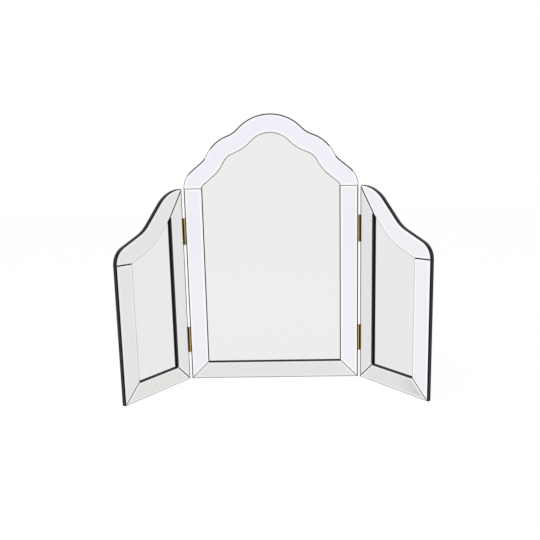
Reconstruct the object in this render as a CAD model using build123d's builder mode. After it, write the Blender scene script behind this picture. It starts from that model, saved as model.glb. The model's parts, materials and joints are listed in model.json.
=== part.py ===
from build123d import *
from math import cos, radians, sin
import os

os.makedirs("parts", exist_ok=True)

# A three-fold dressing-table mirror, in millimetres.
# A tall centre panel with a waved crown carries a half-width wing on each side.
# +X runs to the viewer's right, +Y away from the viewer and +Z up.
# The origin is the middle of the centre board's foot.

# Boards and glass
panel_width = 388.0  # centre board
panel_height = 599.0  # centre board, to the top of the crown
wing_height = 441.0  # wing board, at its hinged edge
wing_meeting_gap = 4.0  # between the two wings when both are folded shut
board_thickness = 9.0
glass_thickness = 3.0
pane_recess = 5.3  # from the face of the border strips back to the face of the pane
pane_clearance = 0.3  # all round the pane, in its pocket
board_rounding = 2.0  # on the rear edges of each board

# Mirrored border strips
strip_width = 38.0
strip_inset = 1.5  # black board left bare outside the strips
strip_joint = 1.4  # open joint between neighbouring strips
strip_bevel_width = 5.0
strip_bevel_depth = 0.7
pane_bevel_width = 1.5
pane_bevel_depth = 0.4

# Waved top of the centre panel, from its middle outwards.
# A slope is in degrees below level, where one curve runs into the next.
# A radius is the smaller of the two that the curve has on its strip:
# the outer edge of a hollow and the inner edge of a swell.
crown_slope = 46.0
high_hollow_radius = 60.0
high_hollow_slope = 19.0
knee_radius = 41.5
knee_slope = 63.0
low_hollow_radius = 51.0
low_hollow_slope = 39.0
low_hollow_flank = 28.0  # straight length below the hollow
panel_corner_radius = 11.5

# Swept top of a wing, from its hinged edge outwards
wing_swell_slope = 49.0
wing_swell_flank = 57.0  # straight length below the swell
wing_hollow_radius = 77.0
wing_hollow_slope = 26.0
wing_hollow_flank = 47.0  # straight length below the hollow

# Wings at rest, in degrees forward of the flat, opened position
left_fold = 55.9
right_fold = 52.2

# Butt hinges, two to a wing
hinge_length = 60.0
hinge_inset = 95.0  # from the wing's top or foot to the middle of a hinge
knuckle_count = 5
knuckle_gap = 0.2
pin_diameter = 1.5
pin_clearance = 0.05  # all round the pin, in the knuckles
pin_end = 0.4  # from each end of the barrel to the pin's own end
leaf_thickness = 0.8
leaf_reach = 12.0  # from the pin's axis back along the board's edge
leaf_clearance = 0.1  # from a leaf to the middle of the gap, with the mirror opened flat
barrel_clearance = 0.1  # from the strips' face forward to a barrel

# Values that follow from the sizes above
border = strip_inset + strip_width
barrel_radius = pin_diameter / 2 + pin_clearance + leaf_thickness
barrel_lead = barrel_radius + barrel_clearance  # from the strips' face to the pin's axis
hinge_gap = leaf_thickness + leaf_clearance  # from the pin's axis along to a board's edge
wing_width = (panel_width - wing_meeting_gap) / 2
glass_front = -board_thickness / 2 - glass_thickness
axis_x = panel_width / 2 + hinge_gap
axis_y = glass_front - barrel_lead
knuckle_pitch = hinge_length / knuckle_count
upright = 90.0

sides = {"left": -1, "right": 1}
folds = {"left": radians(left_fold), "right": radians(right_fold)}
hinge_middles = {"upper": wing_height - hinge_inset, "lower": hinge_inset}


def wave_step(radius, slope, end_slope, straight):
    """Give the run and the drop of one curve and the straight that follows it."""
    bend = 1 if end_slope > slope else -1
    start = radians(slope)
    end = radians(end_slope)
    run = bend * radius * (sin(end) - sin(start)) + straight * cos(end)
    drop = bend * radius * (cos(start) - cos(end)) + straight * sin(end)
    return run, drop


def complete_wave(width, first_slope, first_straight, steps):
    """Put in front of the steps the swell that makes the whole wave fill the width."""
    run = first_straight * cos(radians(first_slope))
    slope = first_slope
    for radius, end_slope, straight in steps:
        run += wave_step(radius, slope, end_slope, straight)[0]
        slope = end_slope
    first_radius = (width - run) / sin(radians(first_slope))
    return [(first_radius, first_slope, first_straight)] + steps


def wave_drop(wave):
    """Give how far a wave falls from its start to its end."""
    drop = 0.0
    slope = 0.0
    for radius, end_slope, straight in wave:
        drop += wave_step(radius, slope, end_slope, straight)[1]
        slope = end_slope
    return drop


# Each step is a radius on the board's outline, the slope it ends on
# and the straight that follows it.
panel_steps = [
    (high_hollow_radius, high_hollow_slope, 0.0),
    (knee_radius + border, knee_slope, 0.0),
    (low_hollow_radius, low_hollow_slope, low_hollow_flank),
    (panel_corner_radius + border, upright, 0.0),
]
wing_steps = [
    (wing_hollow_radius, wing_hollow_slope, wing_hollow_flank),
    (border, upright, 0.0),  # swings about the inner corner of the strip
]
panel_wave = complete_wave(panel_width / 2, crown_slope, 0.0, panel_steps)
wing_wave = complete_wave(wing_width, wing_swell_slope, wing_swell_flank, wing_steps)
panel_shoulder = panel_height - wave_drop(panel_wave)
wing_shoulder = wing_height - wave_drop(wing_wave)


# Planes: each panel's own face, its X to the viewer's right, Y up and Z to the front
def wing_heading(side):
    """Give the direction along a wing, away from its hinges."""
    return Vector(sides[side] * cos(folds[side]), -sin(folds[side]), 0)


def wing_face(side):
    """Give the plane that holds the face of a wing's strips."""
    rearward = Vector(sides[side] * sin(folds[side]), cos(folds[side]), 0)
    origin = Vector(sides[side] * axis_x, axis_y, 0) + rearward * barrel_lead
    return Plane(origin, wing_heading(side) * sides[side], -rearward)


panel_face = Plane((0, glass_front, 0), (1, 0, 0), (0, -1, 0))


def front_of(face):
    """Give the axis that runs from a panel to the viewer."""
    return Axis(face.origin, face.z_dir)


# Outlines
def draw_wave(start, hand, inset, wave):
    """Draw a wave, inside the board's outline by the inset, and give its end."""
    here = Vector(*start)
    slope = 0.0
    for radius, end_slope, straight in wave:
        own_radius = radius - inset if end_slope > slope else radius + inset
        if own_radius > 0:
            heading = (hand * cos(radians(slope)), -sin(radians(slope)))
            curve = JernArc(here, heading, own_radius, hand * (slope - end_slope))
            here = curve @ 1
        if straight:
            heading = Vector(hand * cos(radians(end_slope)), -sin(radians(end_slope)))
            flank = Line(here, here + heading * straight)
            here = flank @ 1
        slope = end_slope
    return here


def panel_outline(inset):
    """Give the centre board's filled outline, drawn in by the inset."""
    start = (0, panel_height - inset)
    with BuildSketch() as outline:
        with BuildLine():
            end = draw_wave(start, sides["right"], inset, panel_wave)
            Polyline(end, (end.X, inset), (0, inset), start)
        make_face()
        mirror(about=Plane.YZ)
    return outline.sketch


def wing_outline(side, inset):
    """Give a wing board's filled outline, drawn in by the inset."""
    hand = sides[side]
    start = (hand * hinge_gap, wing_height - inset)
    with BuildSketch() as outline:
        with BuildLine():
            end = draw_wave(start, hand, inset, wing_wave)
            Polyline(end, (end.X, inset), (hand * hinge_gap, inset), start)
        make_face()
        if inset:
            with Locations((hand * (hinge_gap + inset / 2), wing_height / 2)):
                Rectangle(inset, wing_height, mode=Mode.SUBTRACT)
    return outline.sketch


def saw_cut(start, end):
    """Cut an open joint through the strips, well past both of its ends."""
    run_out = (Vector(*end) - Vector(*start)).normalized() * strip_width / 2
    with BuildLine(mode=Mode.PRIVATE) as cut:
        Line(Vector(*start) - run_out, Vector(*end) + run_out)
    trace(cut.line, line_width=strip_joint, mode=Mode.SUBTRACT)


# Pieces
def keep(part, label):
    """Name a finished piece and write it out."""
    part.label = label
    export_step(part, f"parts/{label}.step")


def make_glass(outline, face, bevel_width, bevel_depth, label):
    """Make a sheet of mirror glass, bevelled all round its front."""
    with BuildPart() as glass:
        extrude(outline, amount=glass_thickness, dir=-face.z_dir)
        front = glass.faces().sort_by(front_of(face))[-1]
        chamfer(front.edges(), bevel_width, bevel_depth, reference=front)
    keep(glass.part, label)


def leaf_plane(side, on_wing, height):
    """Give a level plane on the pin's axis, its X along the leaf's own board."""
    heading = wing_heading(side) if on_wing else Vector(-sides[side], 0, 0)
    return Plane((sides[side] * axis_x, axis_y, height), heading, (0, 0, 1))


def rear_sign(side, on_wing):
    """Give 1 where a leaf plane's Y runs towards the rear of the board, else -1."""
    return sides[side] if on_wing else -sides[side]


def round_rear(board, face):
    """Round a board's rear edges, all but the one it stands on."""
    rear = board.faces().sort_by(front_of(face))[0]
    fillet(rear.edges().sort_by(Axis.Z)[1:], board_rounding)


# Centre panel
board_face = panel_face.offset(-glass_thickness)
with BuildPart() as panel_board:
    with BuildSketch(board_face):
        add(panel_outline(0))
    extrude(amount=-board_thickness)
    with BuildSketch(board_face):
        add(panel_outline(border))
    extrude(amount=-pane_recess, mode=Mode.SUBTRACT)
    round_rear(panel_board, panel_face)
keep(panel_board.part, "centre_backboard")

with BuildSketch(panel_face.offset(-pane_recess)) as panel_pane:
    add(panel_outline(border))
    offset(amount=-pane_clearance, mode=Mode.REPLACE)
make_glass(panel_pane.sketch, panel_face, pane_bevel_width, pane_bevel_depth, "centre_pane")

with BuildSketch(panel_face) as panel_strips:
    add(panel_outline(strip_inset))
    add(panel_outline(border), mode=Mode.SUBTRACT)
    for hand in sides.values():
        edge = hand * panel_width / 2
        inner_edge = hand * (panel_width / 2 - border)
        saw_cut((edge, panel_shoulder), (inner_edge, panel_shoulder))
        saw_cut((edge, 0), (inner_edge, border))
strips = panel_strips.sketch.faces().sort_by(Axis.Z)
flank_strips = ShapeList(strips[1:3]).sort_by(Axis.X)
panel_strip_outlines = {
    "centre_crown_strip": strips[3],
    "centre_left_strip": flank_strips[0],
    "centre_right_strip": flank_strips[1],
    "centre_bottom_strip": strips[0],
}
for label, outline in panel_strip_outlines.items():
    make_glass(outline, panel_face, strip_bevel_width, strip_bevel_depth, label)

# Wings
for side, hand in sides.items():
    face = wing_face(side)
    with BuildPart() as wing_board:
        with BuildSketch(face.offset(-glass_thickness)):
            add(wing_outline(side, 0))
        extrude(amount=-board_thickness)
        with BuildSketch(face.offset(-glass_thickness)):
            add(wing_outline(side, border))
        extrude(amount=-pane_recess, mode=Mode.SUBTRACT)
        round_rear(wing_board, face)
    keep(wing_board.part, f"{side}_wing_backboard")

    with BuildSketch(face.offset(-pane_recess)) as wing_pane:
        add(wing_outline(side, border))
        offset(amount=-pane_clearance, mode=Mode.REPLACE)
    pane_label = f"{side}_wing_pane"
    make_glass(wing_pane.sketch, face, pane_bevel_width, pane_bevel_depth, pane_label)

    # The upper mitre ends at the top corner of the opening, beside the hinges
    opening = wing_outline(side, border)
    opening_flank = opening.vertices().group_by(Axis.X)[0 if hand > 0 else -1]
    opening_corner = opening_flank.sort_by(Axis.Y)[-1]
    hinge_edge = hinge_gap
    outer_edge = hinge_gap + wing_width
    with BuildSketch(face) as wing_strips:
        add(wing_outline(side, strip_inset))
        add(opening, mode=Mode.SUBTRACT)
        corner = (hand * (hinge_edge + strip_inset), wing_height - strip_inset)
        saw_cut(corner, (opening_corner.X, opening_corner.Y))
        saw_cut((hand * hinge_edge, 0), (hand * (hinge_edge + border), border))
        saw_cut((hand * outer_edge, 0), (hand * (outer_edge - border), border))
        joint_end = (hand * (outer_edge - border), wing_shoulder)
        saw_cut((hand * outer_edge, wing_shoulder), joint_end)
    strips = wing_strips.sketch.faces().sort_by(Axis.Z)
    flank_strips = ShapeList(strips[1:3]).sort_by(Axis(face.origin, wing_heading(side)))
    wing_strip_outlines = {
        f"{side}_wing_top_strip": strips[3],
        f"{side}_wing_hinge_strip": flank_strips[0],
        f"{side}_wing_outer_strip": flank_strips[1],
        f"{side}_wing_bottom_strip": strips[0],
    }
    for label, outline in wing_strip_outlines.items():
        make_glass(outline, face, strip_bevel_width, strip_bevel_depth, label)


# Hinges
def make_leaf(side, on_wing, middle, label):
    """Make one leaf: a plate on the board's edge, and every other knuckle."""
    foot = middle - hinge_length / 2
    rear = rear_sign(side, on_wing)
    plate_x = hinge_gap - leaf_thickness / 2
    plate_start = barrel_radius + pin_clearance + knuckle_gap
    with BuildPart() as leaf:
        with BuildSketch(leaf_plane(side, on_wing, foot)):
            with Locations((plate_x, rear * (plate_start + leaf_reach) / 2)):
                Rectangle(leaf_thickness, leaf_reach - plate_start)
        extrude(amount=hinge_length)
        for number in range(1 if on_wing else 0, knuckle_count, 2):
            start = foot + number * knuckle_pitch + knuckle_gap / 2
            with BuildSketch(leaf_plane(side, on_wing, start)):
                Circle(barrel_radius)
                with Locations((plate_x, rear * plate_start / 2)):
                    Rectangle(leaf_thickness, plate_start)
                Circle(pin_diameter / 2 + pin_clearance, mode=Mode.SUBTRACT)
            extrude(amount=knuckle_pitch - knuckle_gap)
    keep(leaf.part, label)


def make_pin(side, middle, label):
    """Make one hinge pin, a rod that shows a little at each end of the barrel."""
    with BuildPart() as pin:
        with Locations((sides[side] * axis_x, axis_y, middle)):
            Cylinder(pin_diameter / 2, hinge_length + 2 * pin_end)
    keep(pin.part, label)


for side in sides:
    for place, middle in hinge_middles.items():
        hinge = f"{side}_{place}_hinge"
        make_pin(side, middle, f"{hinge}_pin")
        for on_wing, carrier in ((False, "centre"), (True, "wing")):
            make_leaf(side, on_wing, middle, f"{hinge}_{carrier}_leaf")
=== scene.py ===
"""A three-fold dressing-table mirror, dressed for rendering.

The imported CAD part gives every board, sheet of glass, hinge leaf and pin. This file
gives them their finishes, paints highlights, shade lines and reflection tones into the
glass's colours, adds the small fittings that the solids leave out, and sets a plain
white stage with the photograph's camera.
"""

import json
import math

import bpy
import numpy as np
from mathutils import Matrix, Vector


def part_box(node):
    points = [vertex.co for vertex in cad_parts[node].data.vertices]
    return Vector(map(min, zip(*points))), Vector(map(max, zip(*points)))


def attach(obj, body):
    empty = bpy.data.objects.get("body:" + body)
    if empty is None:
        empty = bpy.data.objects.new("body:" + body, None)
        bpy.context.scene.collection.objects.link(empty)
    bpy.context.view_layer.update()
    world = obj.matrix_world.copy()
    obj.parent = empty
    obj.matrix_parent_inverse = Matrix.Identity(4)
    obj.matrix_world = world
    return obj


bl_info = {
    "name": "Three-fold vanity mirror",
    "version": (1, 0, 0),
    "blender": (4, 5, 0),
    "location": "3D Viewport > Sidebar > Mirror",
    "description": "Finishes, hinge fittings and a stage for a three-fold vanity mirror",
    "category": "Object",
}

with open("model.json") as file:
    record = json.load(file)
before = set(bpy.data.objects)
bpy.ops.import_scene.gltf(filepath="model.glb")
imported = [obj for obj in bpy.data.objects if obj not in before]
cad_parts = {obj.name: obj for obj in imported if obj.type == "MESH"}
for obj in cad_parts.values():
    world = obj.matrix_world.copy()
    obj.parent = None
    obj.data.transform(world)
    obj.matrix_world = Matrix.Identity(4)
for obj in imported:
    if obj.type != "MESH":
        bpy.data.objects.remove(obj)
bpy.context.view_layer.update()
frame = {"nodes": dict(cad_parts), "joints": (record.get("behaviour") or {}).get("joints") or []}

MM = 0.001
BODIES = {"centre": "centre_panel", "left": "left_wing", "right": "right_wing"}
SIDES = {"left": -1, "right": 1}
PLACES = ("upper", "lower")
MIRROR_REACH = 30 * MM  # beyond it, a mirror shows only the white room
STRIP_BEVEL = (5.0 * MM, 0.7 * MM)  # width and depth
PANE_BEVEL = (1.5 * MM, 0.4 * MM)
PANE_RIM = 1.45 * MM
FRONT_SPREAD = math.radians(5)  # between a sheet's front and its own normal
BEVEL_SPREAD = math.radians(25)
RIM_LEAN = 0.12  # of a bevel towards a rim's side, as a dot product
CROWN_LEAN = 1.4  # lengthens a rim's side, so bevels up to 50 degrees off it count
WIDE_LEAN = 3  # up to 70 degrees off it
PANE_LEAN = 8  # nearly up to 90 degrees off it
END_SHADE_START = 0.55  # of a strip's length
GLASS_DUST = 0.3  # amount of dust and wiping marks on the glass
WIPE_HAZE = 0.02  # roughness that wiping marks add to the glass
SPECK_HAZE = 0.06  # roughness that dust adds to it
GROUND_HAZE = 0.4  # roughness of its ground edges and rims
PAINT_ROUGHNESS = 0.38
PAINT_SHEEN = 0.12  # roughness that wiping marks add to the paint
BRASS_ROUGHNESS = 0.24
TARNISH_ROUGHNESS = 0.15  # that tarnish adds to it
TARNISH_BLEND = 0.25  # of the patches' noise, on either side of the tarnish level
HEAD_RINGS = (0.0, 0.12, 0.24, 0.36, 0.48, 0.6, 0.72, 0.84, 0.94, 1.0)  # of a head's radius
CROSS_REACH = 0.62  # of a screw head's radius
CROSS_WALL = 0.3  # of half a slot's width
CROSS_DEPTH = 0.95  # of the head's height
HEAD_LIFT = 0.01 * MM  # of the head's rim over its leaf
HEAD_TUCK = 0.05 * MM  # of the head's back into its leaf
SCREW_NUMBERS = (-1, 0, 1)  # from a leaf's lowest screw to its highest
SENSOR_WIDTH = 36  # in millimetres
UP = Vector((0, 0, 1))


def display_colour(red, green, blue):
    """Give the linear colour of an 8-bit display colour: the sRGB curve undone."""
    shown = np.array((red, green, blue)) / 255
    linear = np.where(shown > 0.04045, ((shown + 0.055) / 1.055) ** 2.4, shown / 12.92)
    return tuple(float(value) for value in linear)


# Where each panel faces


def wing_fold(side):
    """Give how far a wing stands forward of flat: what is left of a half turn."""
    joint = next(j for j in frame["joints"] if j["child"] == BODIES[side])
    return math.pi - math.radians(joint["range_deg"][1])


def pin_axis(side):
    """Give the place of a wing's hinge axis on the table."""
    joint = next(j for j in frame["joints"] if j["child"] == BODIES[side])
    return Vector(joint["pos_m"][:2]).to_3d()


def panel_directions(panel):
    """Give a panel's direction away from its hinges, and the one to its rear."""
    if panel == "centre":
        return Vector((1, 0, 0)), Vector((0, 1, 0))
    fold = wing_fold(panel)
    hand = SIDES[panel]
    along = Vector((hand * math.cos(fold), -math.sin(fold), 0))
    rear = Vector((hand * math.sin(fold), math.cos(fold), 0))
    return along, rear


# Sizes and colours that a user would change


def tint(name, use, red, green, blue):
    """Declare a colour setting, its default given as an 8-bit display colour."""
    return bpy.props.FloatVectorProperty(
        name=name,
        description=f"Colour of {use}",
        default=display_colour(red, green, blue),
        subtype="COLOR",
        min=0,
        max=1,
    )


class GlassSettings(bpy.types.PropertyGroup):
    """The silvered glass: tints for each kind of piece, which hold painted reflection tones,
    painted highlights and painted shade lines, and its surface.
    """

    # Each piece's tint is a painted reflection tone. It is the same silvered glass, lighter or
    # greyer by what that piece would reflect, and the feet are greyer with painted floor shade.
    centre_pane: tint("Centre pane", "the centre panel's pane", 239, 237, 236)
    left_pane: tint("Left pane", "the left wing's pane", 236, 233, 234)
    right_pane: tint("Right pane", "the right wing's pane", 234, 232, 233)
    crown: tint("Crown", "the waved strip", 240, 240, 248)
    # Every bevel tint here is lighter than its piece, and is a painted highlight.
    crown_bevel_highlight: tint("Crown bevel", "the waved strip's bevels", 248, 248, 252)
    upright: tint("Upright", "the centre panel's upright strips", 239, 239, 245)
    upright_bevel_highlight: tint("Upright bevel", "the centre uprights' bevels", 249, 249, 252)
    foot: tint("Foot", "the centre panel's bottom strip", 228, 228, 228)
    foot_bevel_highlight: tint("Foot bevel", "the bottom strips' bevels", 233, 234, 236)
    left_strip: tint("Left strip", "the left wing's strips", 228, 228, 228)
    left_bevel: tint("Left bevel", "the left wing's bevels", 234, 235, 233)
    left_foot: tint("Left foot", "the left wing's bottom strip", 227, 226, 222)
    right_strip: tint("Right strip", "the right wing's top and outer strips", 240, 239, 244)
    right_bevel: tint("Right bevel", "the bevels of those strips", 249, 249, 252)
    right_hinge: tint("Right hinge strip", "the right strip by the hinges", 226, 227, 226)
    right_hinge_bevel: tint("Right hinge bevel", "that strip's bevels", 231, 232, 232)
    right_foot: tint("Right foot", "the right wing's bottom strip", 225, 224, 227)
    # Painted shade: the outer end of the right foot darkens, as if the floor's shading were
    # reflected there.
    right_foot_end_shade: tint("Right foot end", "the outer end of that strip", 204, 205, 206)
    # Painted shade lines: the dark and grey rims stand for the shade of the black board's step and
    # recess at a bevel's foot.
    dark_shade_line: tint("Dark rim", "the dark lines at the foot of a bevel", 34, 36, 40)
    grey_shade_line: tint("Grey rim", "the fainter lines between strips and panes", 96, 98, 100)
    # A painted shade line: bluish grey along the lower part of the foot bevels.
    foot_shade_line: tint("Foot rim", "the bluish line along the mirror's foot", 150, 156, 172)
    # A painted highlight: the pale line round the top of the centre pane, made lighter to outweigh
    # the shade of its recess.
    crown_painted_line: tint("Crown rim", "the pale line round the top of the pane", 240, 241, 230)
    ground_edge: tint("Ground edge", "the glass's ground edges", 14, 16, 16)
    # Painted light: the crown's ground edges are far paler than the other ground edges, as if lit
    # from above.
    crown_lit_edge: tint("Crown edge", "the waved strip's ground edges", 150, 152, 142)
    roughness: bpy.props.FloatProperty(
        name="Roughness",
        description="Roughness of clean mirror glass",
        default=0.02,
        subtype="FACTOR",
        min=0,
        max=1,
    )


class FinishSettings(bpy.types.PropertyGroup):
    """The boards' black paint and the hinges' brass."""

    paint: tint("Paint", "the boards' black paint", 13, 13, 14)
    paint_dust: tint("Paint dust", "the dust on that paint", 34, 34, 35)
    leaf: tint("Leaf", "the hinge leaves where they are bright", 204, 174, 118)
    leaf_tarnish: tint("Leaf tarnish", "the hinge leaves where they are dull", 170, 140, 92)
    pin: tint("Pin", "the pins and screws where they are bright", 226, 194, 132)
    pin_tarnish: tint("Pin tarnish", "the pins and screws where they are dull", 190, 156, 98)


class FittingSettings(bpy.types.PropertyGroup):
    """The hinges' small fittings."""

    screw_radius: bpy.props.FloatProperty(
        name="Screw head radius",
        description="Radius of a hinge screw's head",
        default=1.9 * MM,
        unit="LENGTH",
    )
    screw_crown: bpy.props.FloatProperty(
        name="Screw head crown",
        description="How far a screw's head stands out of its leaf",
        default=0.08 * MM,
        unit="LENGTH",
    )
    screw_slot: bpy.props.FloatProperty(
        name="Driver slot width",
        description="Width of each arm of the cross for the driver",
        default=0.5 * MM,
        unit="LENGTH",
    )
    screw_pitch: bpy.props.FloatProperty(
        name="Screw spacing",
        description="Height from one screw of a leaf to the next",
        default=20 * MM,
        unit="LENGTH",
    )
    screw_line: bpy.props.FloatProperty(
        name="Screw line",
        description="Distance of the screws behind the pin's axis",
        default=9.2 * MM,
        unit="LENGTH",
    )
    leaf_face: bpy.props.FloatProperty(
        name="Leaf face",
        description="Distance from the pin's axis to the face of a leaf",
        default=0.1 * MM,
        unit="LENGTH",
    )
    pin_crown: bpy.props.FloatProperty(
        name="Pin crown",
        description="Height of the rounded end of a hinge pin",
        default=0.3 * MM,
        unit="LENGTH",
    )


class StageSettings(bpy.types.PropertyGroup):
    """The camera, the lamp and the white surroundings."""

    camera_place: bpy.props.FloatVectorProperty(
        name="Camera place",
        description="Where the camera stands",
        default=(0.0302, -1.2175, 0.4481),
        subtype="XYZ",
        unit="LENGTH",
    )
    camera_target: bpy.props.FloatVectorProperty(
        name="Camera target",
        description="The point that the camera looks at",
        default=(-0.0054, -0.0075, 0.2548),
        subtype="XYZ",
        unit="LENGTH",
    )
    camera_roll: bpy.props.FloatProperty(
        name="Camera roll",
        description="Turn of the camera about its line of sight",
        default=math.radians(-1.321),
        subtype="ANGLE",
    )
    focal_length: bpy.props.FloatProperty(
        name="Focal length",
        description="Lens of the camera, in millimetres on a 36 mm sensor",
        default=36.03,
    )
    floor_reach: bpy.props.FloatProperty(
        name="Floor reach",
        description="How far the floor reaches from the mirror",
        default=8.0,
        unit="LENGTH",
    )
    floor_shade: bpy.props.FloatProperty(
        name="Floor shade",
        description="How much of its own shading the white floor shows",
        default=0.04,
        subtype="FACTOR",
        min=0,
        max=1,
    )
    key_power: bpy.props.FloatProperty(
        name="Key lamp",
        description="Power of the large soft lamp",
        default=22.0,
        unit="POWER",
    )
    key_size: bpy.props.FloatVectorProperty(
        name="Key lamp size",
        description="Width and height of the large soft lamp",
        default=(1.6, 1.2),
        size=2,
        unit="LENGTH",
    )
    key_place: bpy.props.FloatVectorProperty(
        name="Key lamp place",
        description="Where the large soft lamp hangs",
        default=(-0.6, -0.9, 2.2),
        subtype="XYZ",
        unit="LENGTH",
    )
    key_target: bpy.props.FloatVectorProperty(
        name="Key lamp target",
        description="The point that the large soft lamp shines at",
        default=(0, 0, 0.2),
        subtype="XYZ",
        unit="LENGTH",
    )
    sky_strength: bpy.props.FloatProperty(
        name="Sky strength",
        description="Strength of the even light from all round",
        default=0.8,
    )


# Shaders


def add_node(tree, kind, **values):
    """Add a node, and set its properties and the inputs named in values."""
    node = tree.nodes.new(kind)
    for name, value in values.items():
        if hasattr(node, name):
            setattr(node, name, value)
        else:
            node.inputs[name.replace("_", " ")].default_value = value
    return node


def math_node(tree, operation, first, second):
    """Add a Math node whose two inputs are sockets or plain numbers."""
    node = add_node(tree, "ShaderNodeMath", operation=operation)
    for number, value in enumerate((first, second)):
        if isinstance(value, (int, float)):
            node.inputs[number].default_value = value
        else:
            tree.links.new(value, node.inputs[number])
    return node.outputs[0]


def dot_product(tree, first, second):
    """Add a Vector Math node that gives how far two vectors agree."""
    node = add_node(tree, "ShaderNodeVectorMath", operation="DOT_PRODUCT")
    for number, value in enumerate((first, second)):
        if isinstance(value, bpy.types.NodeSocket):
            tree.links.new(value, node.inputs[number])
        else:
            node.inputs[number].default_value = value
    return node.outputs["Value"]


def mix_colours(tree, factor, first, second):
    """Add a Mix node from the first colour to the second by the factor."""
    node = add_node(tree, "ShaderNodeMix", data_type="RGBA")
    for socket, value in (("Factor", factor), ("A", first), ("B", second)):
        target = next(i for i in node.inputs if i.name == socket and i.enabled)
        if isinstance(value, bpy.types.NodeSocket):
            tree.links.new(value, target)
        elif socket == "Factor":
            target.default_value = value
        else:
            target.default_value = (*value, 1) if len(value) == 3 else value
    return next(o for o in node.outputs if o.enabled)


def new_group(name, inputs, outputs):
    """Make a shader node group with the named sockets, and give its tree and ends."""
    tree = bpy.data.node_groups.new(name, "ShaderNodeTree")
    for socket_name, kind, default in inputs:
        socket = tree.interface.new_socket(socket_name, in_out="INPUT", socket_type=kind)
        socket.default_value = default
    for socket_name, kind in outputs:
        tree.interface.new_socket(socket_name, in_out="OUTPUT", socket_type=kind)
    start = tree.nodes.new("NodeGroupInput")
    end = tree.nodes.new("NodeGroupOutput")
    return tree, start, end


def make_facing_group():
    """Tell a sheet's flat front from its bevels, its rims and its ground edges.

    The front is where the surface's own normal agrees with the panel's front to
    within about five degrees, a bevel within about twenty-five, and the rest is edge.
    A rim is the part of a bevel deeper than the rim's start, on the bevels that lean
    to within about thirty degrees of the rim's side, or more if its vector is longer.
    The glass paints its lines of shade and highlight on the rims.
    """
    tree, start, end = new_group(
        "glass_facing",
        [
            ("Front", "NodeSocketVector", (0, -1, 0)),
            ("Face depth", "NodeSocketFloat", 0.0),
            ("Rim side", "NodeSocketVector", (0, 0, 1)),
            ("Rim start", "NodeSocketFloat", 1.0),
        ],
        [
            ("Bevel", "NodeSocketFloat"),
            ("Rim", "NodeSocketFloat"),
            ("Edge", "NodeSocketFloat"),
        ],
    )
    place = add_node(tree, "ShaderNodeTexCoord")
    facing = dot_product(tree, place.outputs["Normal"], start.outputs["Front"])
    bevel_or_edge = math_node(tree, "LESS_THAN", facing, math.cos(FRONT_SPREAD))
    edge = math_node(tree, "LESS_THAN", facing, math.cos(BEVEL_SPREAD))
    bevel = math_node(tree, "SUBTRACT", bevel_or_edge, edge)
    forward = dot_product(tree, place.outputs["Object"], start.outputs["Front"])
    depth = math_node(tree, "SUBTRACT", start.outputs["Face depth"], forward)
    deep = math_node(tree, "GREATER_THAN", depth, start.outputs["Rim start"])
    lean = dot_product(tree, place.outputs["Normal"], start.outputs["Rim side"])
    leaning = math_node(tree, "GREATER_THAN", lean, RIM_LEAN)
    rim = math_node(tree, "MULTIPLY", math_node(tree, "MULTIPLY", deep, leaning), bevel)
    tree.links.new(bevel, end.inputs["Bevel"])
    tree.links.new(rim, end.inputs["Rim"])
    tree.links.new(edge, end.inputs["Edge"])


def make_dust_group():
    """Fine dust and wiping marks: noise at two scales, kept above a threshold."""
    tree, start, end = new_group(
        "dust_and_wipes",
        [
            ("Dust scale", "NodeSocketFloat", 900.0),
            ("Wipe scale", "NodeSocketFloat", 12.0),
            ("Amount", "NodeSocketFloat", 0.5),
        ],
        [("Dust", "NodeSocketFloat"), ("Wipes", "NodeSocketFloat")],
    )
    place = add_node(tree, "ShaderNodeTexCoord")
    for name, detail, low, high in (("Dust", 2.0, 0.62, 0.75), ("Wipes", 4.0, 0.35, 0.8)):
        noise = add_node(tree, "ShaderNodeTexNoise", Detail=detail, Roughness=0.55)
        scale = start.outputs["Dust scale" if name == "Dust" else "Wipe scale"]
        tree.links.new(place.outputs["Object"], noise.inputs["Vector"])
        tree.links.new(scale, noise.inputs["Scale"])
        spread = add_node(
            tree, "ShaderNodeMapRange", From_Min=low, From_Max=high, To_Min=0.0, To_Max=1.0
        )
        tree.links.new(noise.outputs["Fac"], spread.inputs["Value"])
        share = math_node(tree, "MULTIPLY", spread.outputs["Result"], start.outputs["Amount"])
        tree.links.new(share, end.inputs[name])


def new_material(name):
    """Start a material with a bare Principled shader, and give it, its tree and the shader."""
    material = bpy.data.materials.new(name)
    material.use_nodes = True
    tree = material.node_tree
    shader = tree.nodes["Principled BSDF"]
    return material, tree, shader


def glow_white_in_far_mirrors(tree, shader):
    """Show the surface as plain white in a mirror that is further off than the reach: a painted
    white glow, seen only by mirror rays.

    A mirror then shows its own border close by, and otherwise only the white room.
    """
    path = add_node(tree, "ShaderNodeLightPath")
    distant = math_node(tree, "GREATER_THAN", path.outputs["Ray Length"], MIRROR_REACH)
    white = add_node(tree, "ShaderNodeEmission", Strength=1.0)
    mix = add_node(tree, "ShaderNodeMixShader")
    share = math_node(tree, "MULTIPLY", path.outputs["Is Glossy Ray"], distant)
    tree.links.new(share, mix.inputs[0])
    tree.links.new(shader.outputs[0], mix.inputs[1])
    tree.links.new(white.outputs[0], mix.inputs[2])
    tree.links.new(mix.outputs[0], tree.nodes["Material Output"].inputs["Surface"])


def seen_white(tree):
    """Give 1 for rays from the camera, mirrors and glass, which see plain white."""
    path = add_node(tree, "ShaderNodeLightPath")
    seen = math_node(tree, "MAXIMUM", path.outputs["Is Camera Ray"], path.outputs["Is Glossy Ray"])
    return math_node(tree, "MAXIMUM", seen, path.outputs["Is Transmission Ray"])


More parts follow.
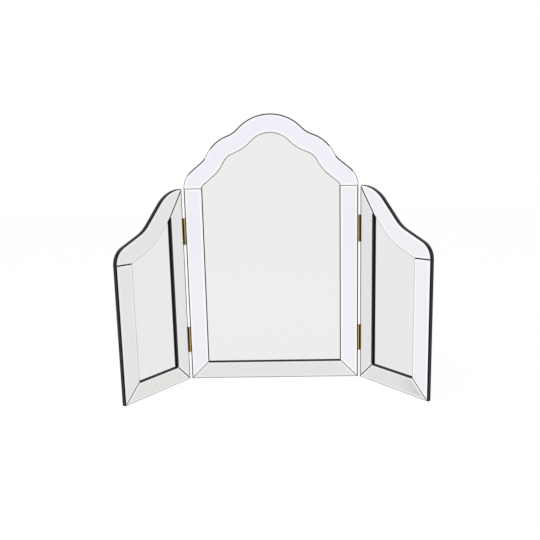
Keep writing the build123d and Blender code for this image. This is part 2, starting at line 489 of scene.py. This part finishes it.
def place_group(tree, group, **values):
    """Place a shared node group in a tree, with its own values."""
    node = tree.nodes.new("ShaderNodeGroup")
    node.node_tree = bpy.data.node_groups[group]
    for name, value in values.items():
        node.inputs[name.replace("_", " ")].default_value = value
    return node


def tints_with_painted_light(plain, bevel, *rims):
    """Note down a piece's tint, a painted reflection tone; its bevels' tint, a painted highlight
    on the strips; and its rims, painted lines: side, width and tint.
    """
    return {"tint": tuple(plain), "bevel": tuple(bevel), "rims": rims}


def reach_along(node, direction):
    """Give the least and the greatest reach of a CAD node's own mesh in a direction."""
    mesh = frame["nodes"][node].data
    points = np.empty(len(mesh.vertices) * 3)
    mesh.vertices.foreach_get("co", points)
    reach = points.reshape(-1, 3) @ np.array(direction)
    return float(reach.min()), float(reach.max())


def rim_mask(tree, front, face_depth, bevel, side, width):
    """Give 1 on the lowest part of a bevel, so wide and on the bevels to that side, where a
    painted line goes.
    """
    bevel_width, bevel_depth = bevel
    facing = place_group(
        tree,
        "glass_facing",
        Front=front,
        Face_depth=face_depth,
        Rim_side=side,
        Rim_start=bevel_depth * (1 - width / bevel_width),
    )
    return facing.outputs["Rim"]


def glass_roughness(tree, dull, glass):
    """Add up the roughness of clean glass, its dust and wipes, and its dull parts."""
    dust = place_group(tree, "dust_and_wipes", Amount=GLASS_DUST)
    wiped = math_node(tree, "MULTIPLY", dust.outputs["Wipes"], WIPE_HAZE)
    specks = math_node(tree, "MULTIPLY", dust.outputs["Dust"], SPECK_HAZE)
    haze = math_node(tree, "ADD", wiped, specks)
    polish = math_node(tree, "ADD", haze, glass.roughness)
    ground = math_node(tree, "MULTIPLY", dull, GROUND_HAZE)
    return math_node(tree, "ADD", polish, ground)


def shade_to_end(tree, node, along, silver, end_tint):
    """Shade a strip's tint into another one over the last part of its length: painted shade,
    standing for the floor's shading seen in the strip.
    """
    near, far = reach_along(node, along)
    place = add_node(tree, "ShaderNodeTexCoord")
    share = add_node(
        tree,
        "ShaderNodeMapRange",
        interpolation_type="SMOOTHSTEP",
        From_Min=near + END_SHADE_START * (far - near),
        From_Max=far,
    )
    tree.links.new(dot_product(tree, place.outputs["Object"], along), share.inputs["Value"])
    return mix_colours(tree, share.outputs["Result"], silver, end_tint)


def make_mirror_glass(node, looks, glass):
    """Silvered glass: a mirror tinted with a painted reflection tone, painted highlights on its
    bevels, painted lines on its rims, and its own ground edges.
    """
    along, rear = panel_directions(node.split("_")[0])
    material, tree, shader = new_material(f"{node}_silvering")
    facing = place_group(tree, "glass_facing", Front=-rear)
    silver = looks["tint"]
    # A strip with an end shade blends into it: painted shade.
    if "end_tint" in looks:
        silver = shade_to_end(tree, node, along, silver, looks["end_tint"])
    # Bevels take their tint here, which on the strips is a painted highlight.
    colour = mix_colours(tree, facing.outputs["Bevel"], silver, looks["bevel"])
    dull = facing.outputs["Edge"]
    bevel = PANE_BEVEL if node.endswith("pane") else STRIP_BEVEL
    face_depth = reach_along(node, -rear)[1]
    # Each rim paints a dull, non-metallic line over the colour: painted shade, and round the top
    # of the centre pane a painted highlight.
    for side, width, rim_tint in looks["rims"]:
        rim = rim_mask(tree, -rear, face_depth, bevel, side, width)
        colour = mix_colours(tree, rim, colour, tuple(rim_tint))
        dull = math_node(tree, "MAXIMUM", dull, rim)
    edge_tint = looks.get("edge", tuple(glass.ground_edge))
    colour = mix_colours(tree, facing.outputs["Edge"], colour, edge_tint)
    tree.links.new(colour, shader.inputs["Base Color"])
    tree.links.new(math_node(tree, "SUBTRACT", 1.0, dull), shader.inputs["Metallic"])
    tree.links.new(glass_roughness(tree, dull, glass), shader.inputs["Roughness"])
    shader.inputs["Specular IOR Level"].default_value = 0.3
    glow_white_in_far_mirrors(tree, shader)
    return material


def make_black_paint(finishes):
    """Black paint on board: satin, faintly pebbled, with a little dust."""
    material, tree, shader = new_material("black_board_paint")
    dust = place_group(tree, "dust_and_wipes", Dust_scale=1500.0, Wipe_scale=20.0, Amount=0.8)
    colour = mix_colours(tree, dust.outputs["Dust"], finishes.paint, finishes.paint_dust)
    tree.links.new(colour, shader.inputs["Base Color"])
    shader.inputs["Specular IOR Level"].default_value = 0.25
    sheen = math_node(tree, "MULTIPLY", dust.outputs["Wipes"], PAINT_SHEEN)
    tree.links.new(math_node(tree, "ADD", sheen, PAINT_ROUGHNESS), shader.inputs["Roughness"])
    place = add_node(tree, "ShaderNodeTexCoord")
    pebble = add_node(tree, "ShaderNodeTexNoise", Scale=1400.0, Detail=2.0)
    tree.links.new(place.outputs["Object"], pebble.inputs["Vector"])
    bump = add_node(tree, "ShaderNodeBump", Strength=0.15, Distance=0.0002)
    tree.links.new(pebble.outputs["Fac"], bump.inputs["Height"])
    tree.links.new(bump.outputs["Normal"], shader.inputs["Normal"])
    glow_white_in_far_mirrors(tree, shader)
    return material


def make_brass(name, bright, tarnish, level):
    """Brass: worn bright in places, tarnished where the patches' noise passes a level."""
    material, tree, shader = new_material(name)
    place = add_node(tree, "ShaderNodeTexCoord")
    patches = add_node(tree, "ShaderNodeTexNoise", Scale=420.0, Detail=5.0, Roughness=0.6)
    tree.links.new(place.outputs["Object"], patches.inputs["Vector"])
    dull = add_node(
        tree,
        "ShaderNodeMapRange",
        From_Min=level - TARNISH_BLEND,
        From_Max=level + TARNISH_BLEND,
        To_Min=0.0,
        To_Max=1.0,
    )
    tree.links.new(patches.outputs["Fac"], dull.inputs["Value"])
    colour = mix_colours(tree, dull.outputs["Result"], bright, tarnish)
    tree.links.new(colour, shader.inputs["Base Color"])
    stretch = add_node(tree, "ShaderNodeMapping")
    stretch.inputs["Scale"].default_value = (1, 1, 0.04)
    tree.links.new(place.outputs["Object"], stretch.inputs["Vector"])
    brushing = add_node(tree, "ShaderNodeTexNoise", Scale=9000.0, Detail=2.0)
    tree.links.new(stretch.outputs["Vector"], brushing.inputs["Vector"])
    bump = add_node(tree, "ShaderNodeBump", Strength=0.2, Distance=0.00005)
    tree.links.new(brushing.outputs["Fac"], bump.inputs["Height"])
    tree.links.new(bump.outputs["Normal"], shader.inputs["Normal"])
    rougher = math_node(tree, "MULTIPLY", dull.outputs["Result"], TARNISH_ROUGHNESS)
    roughness = math_node(tree, "ADD", rougher, BRASS_ROUGHNESS)
    tree.links.new(roughness, shader.inputs["Roughness"])
    shader.inputs["Metallic"].default_value = 1.0
    glow_white_in_far_mirrors(tree, shader)
    return material


def dress(node, material):
    """Give a CAD node its material."""
    slots = frame["nodes"][node].data.materials
    for number in range(len(slots)):
        slots[number] = material


# New pieces


def sealed_rings(points, start):
    """Turn rows of rings into vertices and faces, the vertices numbered from start.

    Columns close on themselves. The first and last rows are single points,
    so each end is a fan of triangles and the surface is sealed.
    """
    rows, columns = points.shape[:2]
    vertices = np.vstack([points[0, :1], points[1:-1].reshape(-1, 3), points[-1, :1]])
    column = np.arange(columns)
    following = np.roll(column, -1)
    row = np.arange(rows - 3)[:, None] * columns + 1
    quads = np.stack(
        [row + column, row + following, row + columns + following, row + columns + column], -1
    ).reshape(-1, 4)
    last = len(vertices) - 1
    final = (rows - 3) * columns + 1
    first_fan = np.stack([np.zeros_like(column), 1 + following, 1 + column], -1)
    last_fan = np.stack([np.full_like(column, last), final + column, final + following], -1)
    faces = [(part + start).tolist() for part in (first_fan, quads, last_fan)]
    return vertices.tolist(), sum(faces, [])


def screw_head(fitting):
    """Work out one screw head about the origin, facing +Z, as rows of rings.

    Its height over the leaf is the crown times one less the squared share of the
    radius. Inside the arms of a cross it drops smoothly to just above the leaf: in
    full within half a slot's width, and less and less over the slot's wall.
    Two more rings close it behind, a little way into the leaf.
    """
    share = np.array(HEAD_RINGS)[:, None]
    turn = np.linspace(0, 2 * np.pi, 48, endpoint=False)[None, :]
    x = fitting.screw_radius * share * np.cos(turn)
    y = fitting.screw_radius * share * np.sin(turn)
    arm = fitting.screw_radius * CROSS_REACH
    half = fitting.screw_slot / 2
    across = np.minimum(np.abs(x), np.abs(y))
    along = np.maximum(np.abs(x), np.abs(y))
    cut = np.clip((half - across) / (CROSS_WALL * half) + 1, 0, 1) * (along < arm)
    height = fitting.screw_crown * (1 - share**2) * (1 - CROSS_DEPTH * cut) + HEAD_LIFT
    front = np.stack([x, y, height], -1)
    rim = front[-1:] * np.array([1, 1, 0]) - np.array([0, 0, HEAD_TUCK])
    back = rim * np.array([0, 0, 1])
    return np.concatenate([front, rim, back])


def pin_end(radius, crown):
    """Work out a pin's rounded end about the origin, facing +Z, as rows of rings.

    A quarter of an ellipse swept round: radius times the cosine, crown times the sine.
    """
    angle = np.linspace(np.pi / 2, 0, 7)[:, None]
    turn = np.linspace(0, 2 * np.pi, 24, endpoint=False)[None, :]
    x = radius * np.cos(angle) * np.cos(turn)
    y = radius * np.cos(angle) * np.sin(turn)
    z = crown * np.sin(angle) + 0 * turn
    front = np.stack([x, y, z], -1)
    back = front[-1:] * np.array([0, 0, 1])
    return np.concatenate([front, back])


def place_points(points, origin, x_axis, y_axis, z_axis):
    """Carry points to a place: each coordinate along its own axis from the origin."""
    axes = np.array([x_axis, y_axis, z_axis])
    return points @ axes + np.array(origin)


def add_piece(name, shapes, material, body):
    """Join sealed shapes, each in rows of rings, and let the piece ride on a body."""
    vertices = []
    faces = []
    for shape in shapes:
        shape_vertices, shape_faces = sealed_rings(shape, len(vertices))
        vertices += shape_vertices
        faces += shape_faces
    mesh = bpy.data.meshes.new(name)
    mesh.from_pydata(vertices, [], faces)
    mesh.materials.append(material)
    mesh.polygons.foreach_set("use_smooth", np.ones(len(faces), bool))
    piece = bpy.data.objects.new(name, mesh)
    bpy.context.scene.collection.objects.link(piece)
    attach(piece, body)
    return piece


def hinge_middle(side, place):
    """Give the height of a hinge's middle, from its pin."""
    low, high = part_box(f"{side}_{place}_hinge_pin")
    return (low.z + high.z) / 2


def leaf_screws(side, place, panel, fitting):
    """Work out the screw heads of one hinge leaf, where they sit."""
    along, rear = panel_directions(panel)
    if panel == "centre":
        along = Vector((-SIDES[side], 0, 0))
    head = screw_head(fitting)
    heads = []
    for number in SCREW_NUMBERS:
        seat = pin_axis(side) + along * fitting.leaf_face + rear * fitting.screw_line
        seat.z = hinge_middle(side, place) + number * fitting.screw_pitch
        heads.append(place_points(head, seat, UP, UP.cross(-along), -along))
    return heads


# Operators


class MIRROR_OT_paint_boards(bpy.types.Operator):
    """Paint the three backing boards black"""

    bl_idname = "mirror.paint_boards"
    bl_label = "Paint the boards"

    def execute(self, context):
        paint = make_black_paint(context.scene.mirror_finishes)
        for node in ("centre_backboard", "left_wing_backboard", "right_wing_backboard"):
            dress(node, paint)
        return {"FINISHED"}


class MIRROR_OT_silver_glass(bpy.types.Operator):
    """Silver the panes and the bevelled border strips"""

    bl_idname = "mirror.silver_glass"
    bl_label = "Silver the glass"

    def execute(self, context):
        glass = context.scene.mirror_glass
        for node, looks in self.centre_looks(glass).items():
            dress(node, make_mirror_glass(node, looks, glass))
        for side in SIDES:
            for node, looks in self.wing_looks(side, glass).items():
                dress(node, make_mirror_glass(node, looks, glass))
        return {"FINISHED"}

    def centre_looks(self, glass):
        """Give the tints and rims of the centre panel's glass."""
        left = Vector((-1, 0, 0))
        # The rims here are painted lines: dark painted shade on the strips, a pale painted
        # highlight round the top of the pane, and a bluish painted shade line under the foot.
        dark = glass.dark_shade_line
        upright = (glass.upright, glass.upright_bevel_highlight)
        pane_rim = (PANE_LEAN * UP, PANE_RIM, glass.crown_painted_line)
        crown_painted_line = (CROWN_LEAN * UP, 1.4 * MM, dark)
        top_rim = (UP, 1.5 * MM, dark)
        foot_shade_line = (-UP, 0.9 * MM, glass.foot_shade_line)
        looks = {
            "centre_pane": tints_with_painted_light(glass.centre_pane, glass.centre_pane, pane_rim),
            "centre_crown_strip": tints_with_painted_light(glass.crown, glass.crown_bevel_highlight, crown_painted_line),
            "centre_left_strip": tints_with_painted_light(*upright, (left, 1.2 * MM, dark)),
            "centre_right_strip": tints_with_painted_light(*upright, (-left, 1.2 * MM, dark)),
            "centre_bottom_strip": tints_with_painted_light(glass.foot, glass.foot_bevel_highlight, top_rim, foot_shade_line),
        }
        # The crown's ground edges take their painted light tint.
        looks["centre_crown_strip"]["edge"] = tuple(glass.crown_lit_edge)
        return looks

    def wing_looks(self, side, glass):
        """Give the tints and rims of a wing's glass."""
        along = panel_directions(side)[0]
        # A strip's bevel tint is a painted highlight.
        strip = (getattr(glass, f"{side}_strip"), getattr(glass, f"{side}_bevel"))
        by_hinges = (glass.right_hinge, glass.right_hinge_bevel) if side == "right" else strip
        pane = getattr(glass, f"{side}_pane")
        foot = getattr(glass, f"{side}_foot")
        # The rims here are painted lines: dark and grey painted shade, and a bluish painted shade
        # line under the foot.
        dark = glass.dark_shade_line
        inner_rims = ((along, 3.0 * MM, dark), (-along, 2.4 * MM, dark))
        mitre_rims = ((WIDE_LEAN * UP, 0.9 * MM, dark), (-WIDE_LEAN * UP, 0.9 * MM, dark))
        sweep_rim = (-WIDE_LEAN * UP, 0.8 * MM, glass.grey_shade_line)
        pane_side_rim = (-WIDE_LEAN * along, 0.8 * MM, glass.grey_shade_line)
        joint_rim = (UP, 0.9 * MM, dark)
        foot_rims = ((UP, 1.8 * MM, dark), (-UP, 0.9 * MM, glass.foot_shade_line))
        looks = {
            "pane": tints_with_painted_light(pane, pane, (-along, PANE_RIM, dark)),
            "top_strip": tints_with_painted_light(*strip, sweep_rim),
            "outer_strip": tints_with_painted_light(*strip, pane_side_rim, joint_rim),
            "hinge_strip": tints_with_painted_light(*by_hinges, *inner_rims, *mitre_rims),
            "bottom_strip": tints_with_painted_light(foot, glass.foot_bevel_highlight, *foot_rims),
        }
        if side == "right":
            # The right foot's outer end gets painted shade.
            looks["bottom_strip"]["end_tint"] = tuple(glass.right_foot_end_shade)
        return {f"{side}_wing_{piece}": look for piece, look in looks.items()}


class MIRROR_OT_finish_hinges(bpy.types.Operator):
    """Finish the hinge leaves in dark brass and the pins in bright brass"""

    bl_idname = "mirror.finish_hinges"
    bl_label = "Finish the hinges"

    def execute(self, context):
        finishes = context.scene.mirror_finishes
        leaf_brass = make_brass("leaf_brass", finishes.leaf, finishes.leaf_tarnish, 0.5)
        pin_brass = make_brass("pin_brass", finishes.pin, finishes.pin_tarnish, 0.6)
        for side in SIDES:
            for place in PLACES:
                dress(f"{side}_{place}_hinge_centre_leaf", leaf_brass)
                dress(f"{side}_{place}_hinge_wing_leaf", leaf_brass)
                dress(f"{side}_{place}_hinge_pin", pin_brass)
        return {"FINISHED"}


class MIRROR_OT_drive_screws(bpy.types.Operator):
    """Add the screw heads of every hinge leaf, with their driver crosses"""

    bl_idname = "mirror.drive_screws"
    bl_label = "Drive the hinge screws"

    def execute(self, context):
        fitting = context.scene.mirror_fittings
        material = bpy.data.materials["pin_brass"]
        for side in SIDES:
            for place in PLACES:
                for panel, part in (("centre", "centre"), (side, "wing")):
                    heads = leaf_screws(side, place, panel, fitting)
                    name = f"{side}_{place}_hinge_{part}_screws"
                    add_piece(name, heads, material, BODIES[panel])
        return {"FINISHED"}


class MIRROR_OT_round_pins(bpy.types.Operator):
    """Round the ends of the hinge pins"""

    bl_idname = "mirror.round_pins"
    bl_label = "Round the pin ends"

    def execute(self, context):
        fitting = context.scene.mirror_fittings
        material = bpy.data.materials["pin_brass"]
        for side in SIDES:
            for place in PLACES:
                low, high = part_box(f"{side}_{place}_hinge_pin")
                middle = (low + high) / 2
                end = pin_end((high.x - low.x) / 2, fitting.pin_crown)
                ends = []
                for sign, level in ((1, high.z), (-1, low.z)):
                    origin = (middle.x, middle.y, level)
                    ends.append(place_points(end, origin, (1, 0, 0), (0, sign, 0), (0, 0, sign)))
                add_piece(f"{side}_{place}_hinge_pin_ends", ends, material, "centre_panel")
        return {"FINISHED"}


class MIRROR_OT_set_stage(bpy.types.Operator):
    """Lay a white floor, light it softly and set up the camera"""

    bl_idname = "mirror.set_stage"
    bl_label = "Set the stage"

    def execute(self, context):
        stage = context.scene.mirror_stage
        self.lay_floor(stage)
        self.light_world(context, stage)
        self.hang_lamp(context, stage)
        self.place_camera(context, stage)
        context.scene.view_settings.view_transform = "Standard"
        return {"FINISHED"}

    def lay_floor(self, stage):
        """Lay a wide floor that is seen as plain white, with a faint shadow on it."""
        reach = stage.floor_reach
        mesh = bpy.data.meshes.new("floor")
        corners = [(-reach, -reach, 0), (reach, -reach, 0), (reach, reach, 0), (-reach, reach, 0)]
        mesh.from_pydata(corners, [], [(0, 1, 2, 3)])
        floor = bpy.data.objects.new("floor", mesh)
        bpy.context.scene.collection.objects.link(floor)
        material, tree, shader = new_material("white_floor")
        shader.inputs["Base Color"].default_value = (1, 1, 1, 1)
        shader.inputs["Roughness"].default_value = 0.9
        shader.inputs["Specular IOR Level"].default_value = 0.0
        glow = add_node(tree, "ShaderNodeEmission", Strength=1.0)
        mix = add_node(tree, "ShaderNodeMixShader")
        share = math_node(tree, "MULTIPLY", seen_white(tree), 1 - stage.floor_shade)
        output = tree.nodes["Material Output"]
        tree.links.new(share, mix.inputs[0])
        tree.links.new(shader.outputs[0], mix.inputs[1])
        tree.links.new(glow.outputs[0], mix.inputs[2])
        tree.links.new(mix.outputs[0], output.inputs["Surface"])
        mesh.materials.append(material)

    def light_world(self, context, stage):
        """Light the mirror evenly from all round, from a room seen as plain white."""
        world = bpy.data.worlds.new("white_room")
        context.scene.world = world
        world.use_nodes = True
        tree = world.node_tree
        room = tree.nodes["Background"]
        room.inputs["Color"].default_value = (1, 1, 1, 1)
        extra = math_node(tree, "MULTIPLY", seen_white(tree), 1 - stage.sky_strength)
        strength = math_node(tree, "ADD", extra, stage.sky_strength)
        tree.links.new(strength, room.inputs["Strength"])

    def hang_lamp(self, context, stage):
        """Hang one large soft lamp, which the mirrors don't show."""
        lamp = bpy.data.lights.new("softbox", "AREA")
        lamp.shape = "RECTANGLE"
        lamp.size, lamp.size_y = stage.key_size
        lamp.energy = stage.key_power
        softbox = bpy.data.objects.new("softbox", lamp)
        place = Vector(stage.key_place)
        aim = Vector(stage.key_target) - place
        turn = aim.to_track_quat("-Z", "Y").to_matrix().to_4x4()
        softbox.matrix_world = Matrix.Translation(place) @ turn
        softbox.visible_glossy = False
        context.scene.collection.objects.link(softbox)

    def place_camera(self, context, stage):
        """Stand the camera where it looks at its target, rolled about that line."""
        lens = bpy.data.cameras.new("camera")
        lens.lens = stage.focal_length
        lens.sensor_width = SENSOR_WIDTH
        camera = bpy.data.objects.new("camera", lens)
        place = Vector(stage.camera_place)
        back = (place - Vector(stage.camera_target)).normalized()
        level = UP.cross(back).normalized()
        up = back.cross(level)
        turn = stage.camera_roll
        right = level * math.cos(turn) + up * math.sin(turn)
        above = up * math.cos(turn) - level * math.sin(turn)
        axes = Matrix((right, above, back)).transposed()
        camera.matrix_world = Matrix.Translation(place) @ axes.to_4x4()
        context.scene.collection.objects.link(camera)
        context.scene.camera = camera


class MIRROR_PT_panel(bpy.types.Panel):
    """Lists the steps that dress the mirror, and their settings"""

    bl_idname = "MIRROR_PT_panel"
    bl_label = "Three-fold mirror"
    bl_space_type = "VIEW_3D"
    bl_region_type = "UI"
    bl_category = "Mirror"

    def draw(self, context):
        layout = self.layout
        for operator in OPERATORS:
            layout.operator(operator.bl_idname)
        for name in SETTINGS:
            group = getattr(context.scene, name)
            box = layout.box()
            for key in group.__annotations__:
                box.prop(group, key)


OPERATORS = (
    MIRROR_OT_paint_boards,
    MIRROR_OT_silver_glass,
    MIRROR_OT_finish_hinges,
    MIRROR_OT_drive_screws,
    MIRROR_OT_round_pins,
    MIRROR_OT_set_stage,
)
SETTINGS = {
    "mirror_glass": GlassSettings,
    "mirror_finishes": FinishSettings,
    "mirror_fittings": FittingSettings,
    "mirror_stage": StageSettings,
}


def register():
    """Add the settings, the operators and the panel to Blender."""
    for settings in SETTINGS.values():
        bpy.utils.register_class(settings)
    for name, settings in SETTINGS.items():
        setattr(bpy.types.Scene, name, bpy.props.PointerProperty(type=settings))
    for operator in OPERATORS:
        bpy.utils.register_class(operator)
    bpy.utils.register_class(MIRROR_PT_panel)


def unregister():
    """Take them out again."""
    bpy.utils.unregister_class(MIRROR_PT_panel)
    for operator in reversed(OPERATORS):
        bpy.utils.unregister_class(operator)
    for name in SETTINGS:
        delattr(bpy.types.Scene, name)
    for settings in reversed(SETTINGS.values()):
        bpy.utils.unregister_class(settings)


def main():
    """Dress the mirror and set the stage."""
    register()
    make_facing_group()
    make_dust_group()
    bpy.ops.mirror.paint_boards()
    bpy.ops.mirror.silver_glass()
    bpy.ops.mirror.finish_hinges()
    bpy.ops.mirror.drive_screws()
    bpy.ops.mirror.round_pins()
    bpy.ops.mirror.set_stage()


if __name__ == "__main__":
    main()
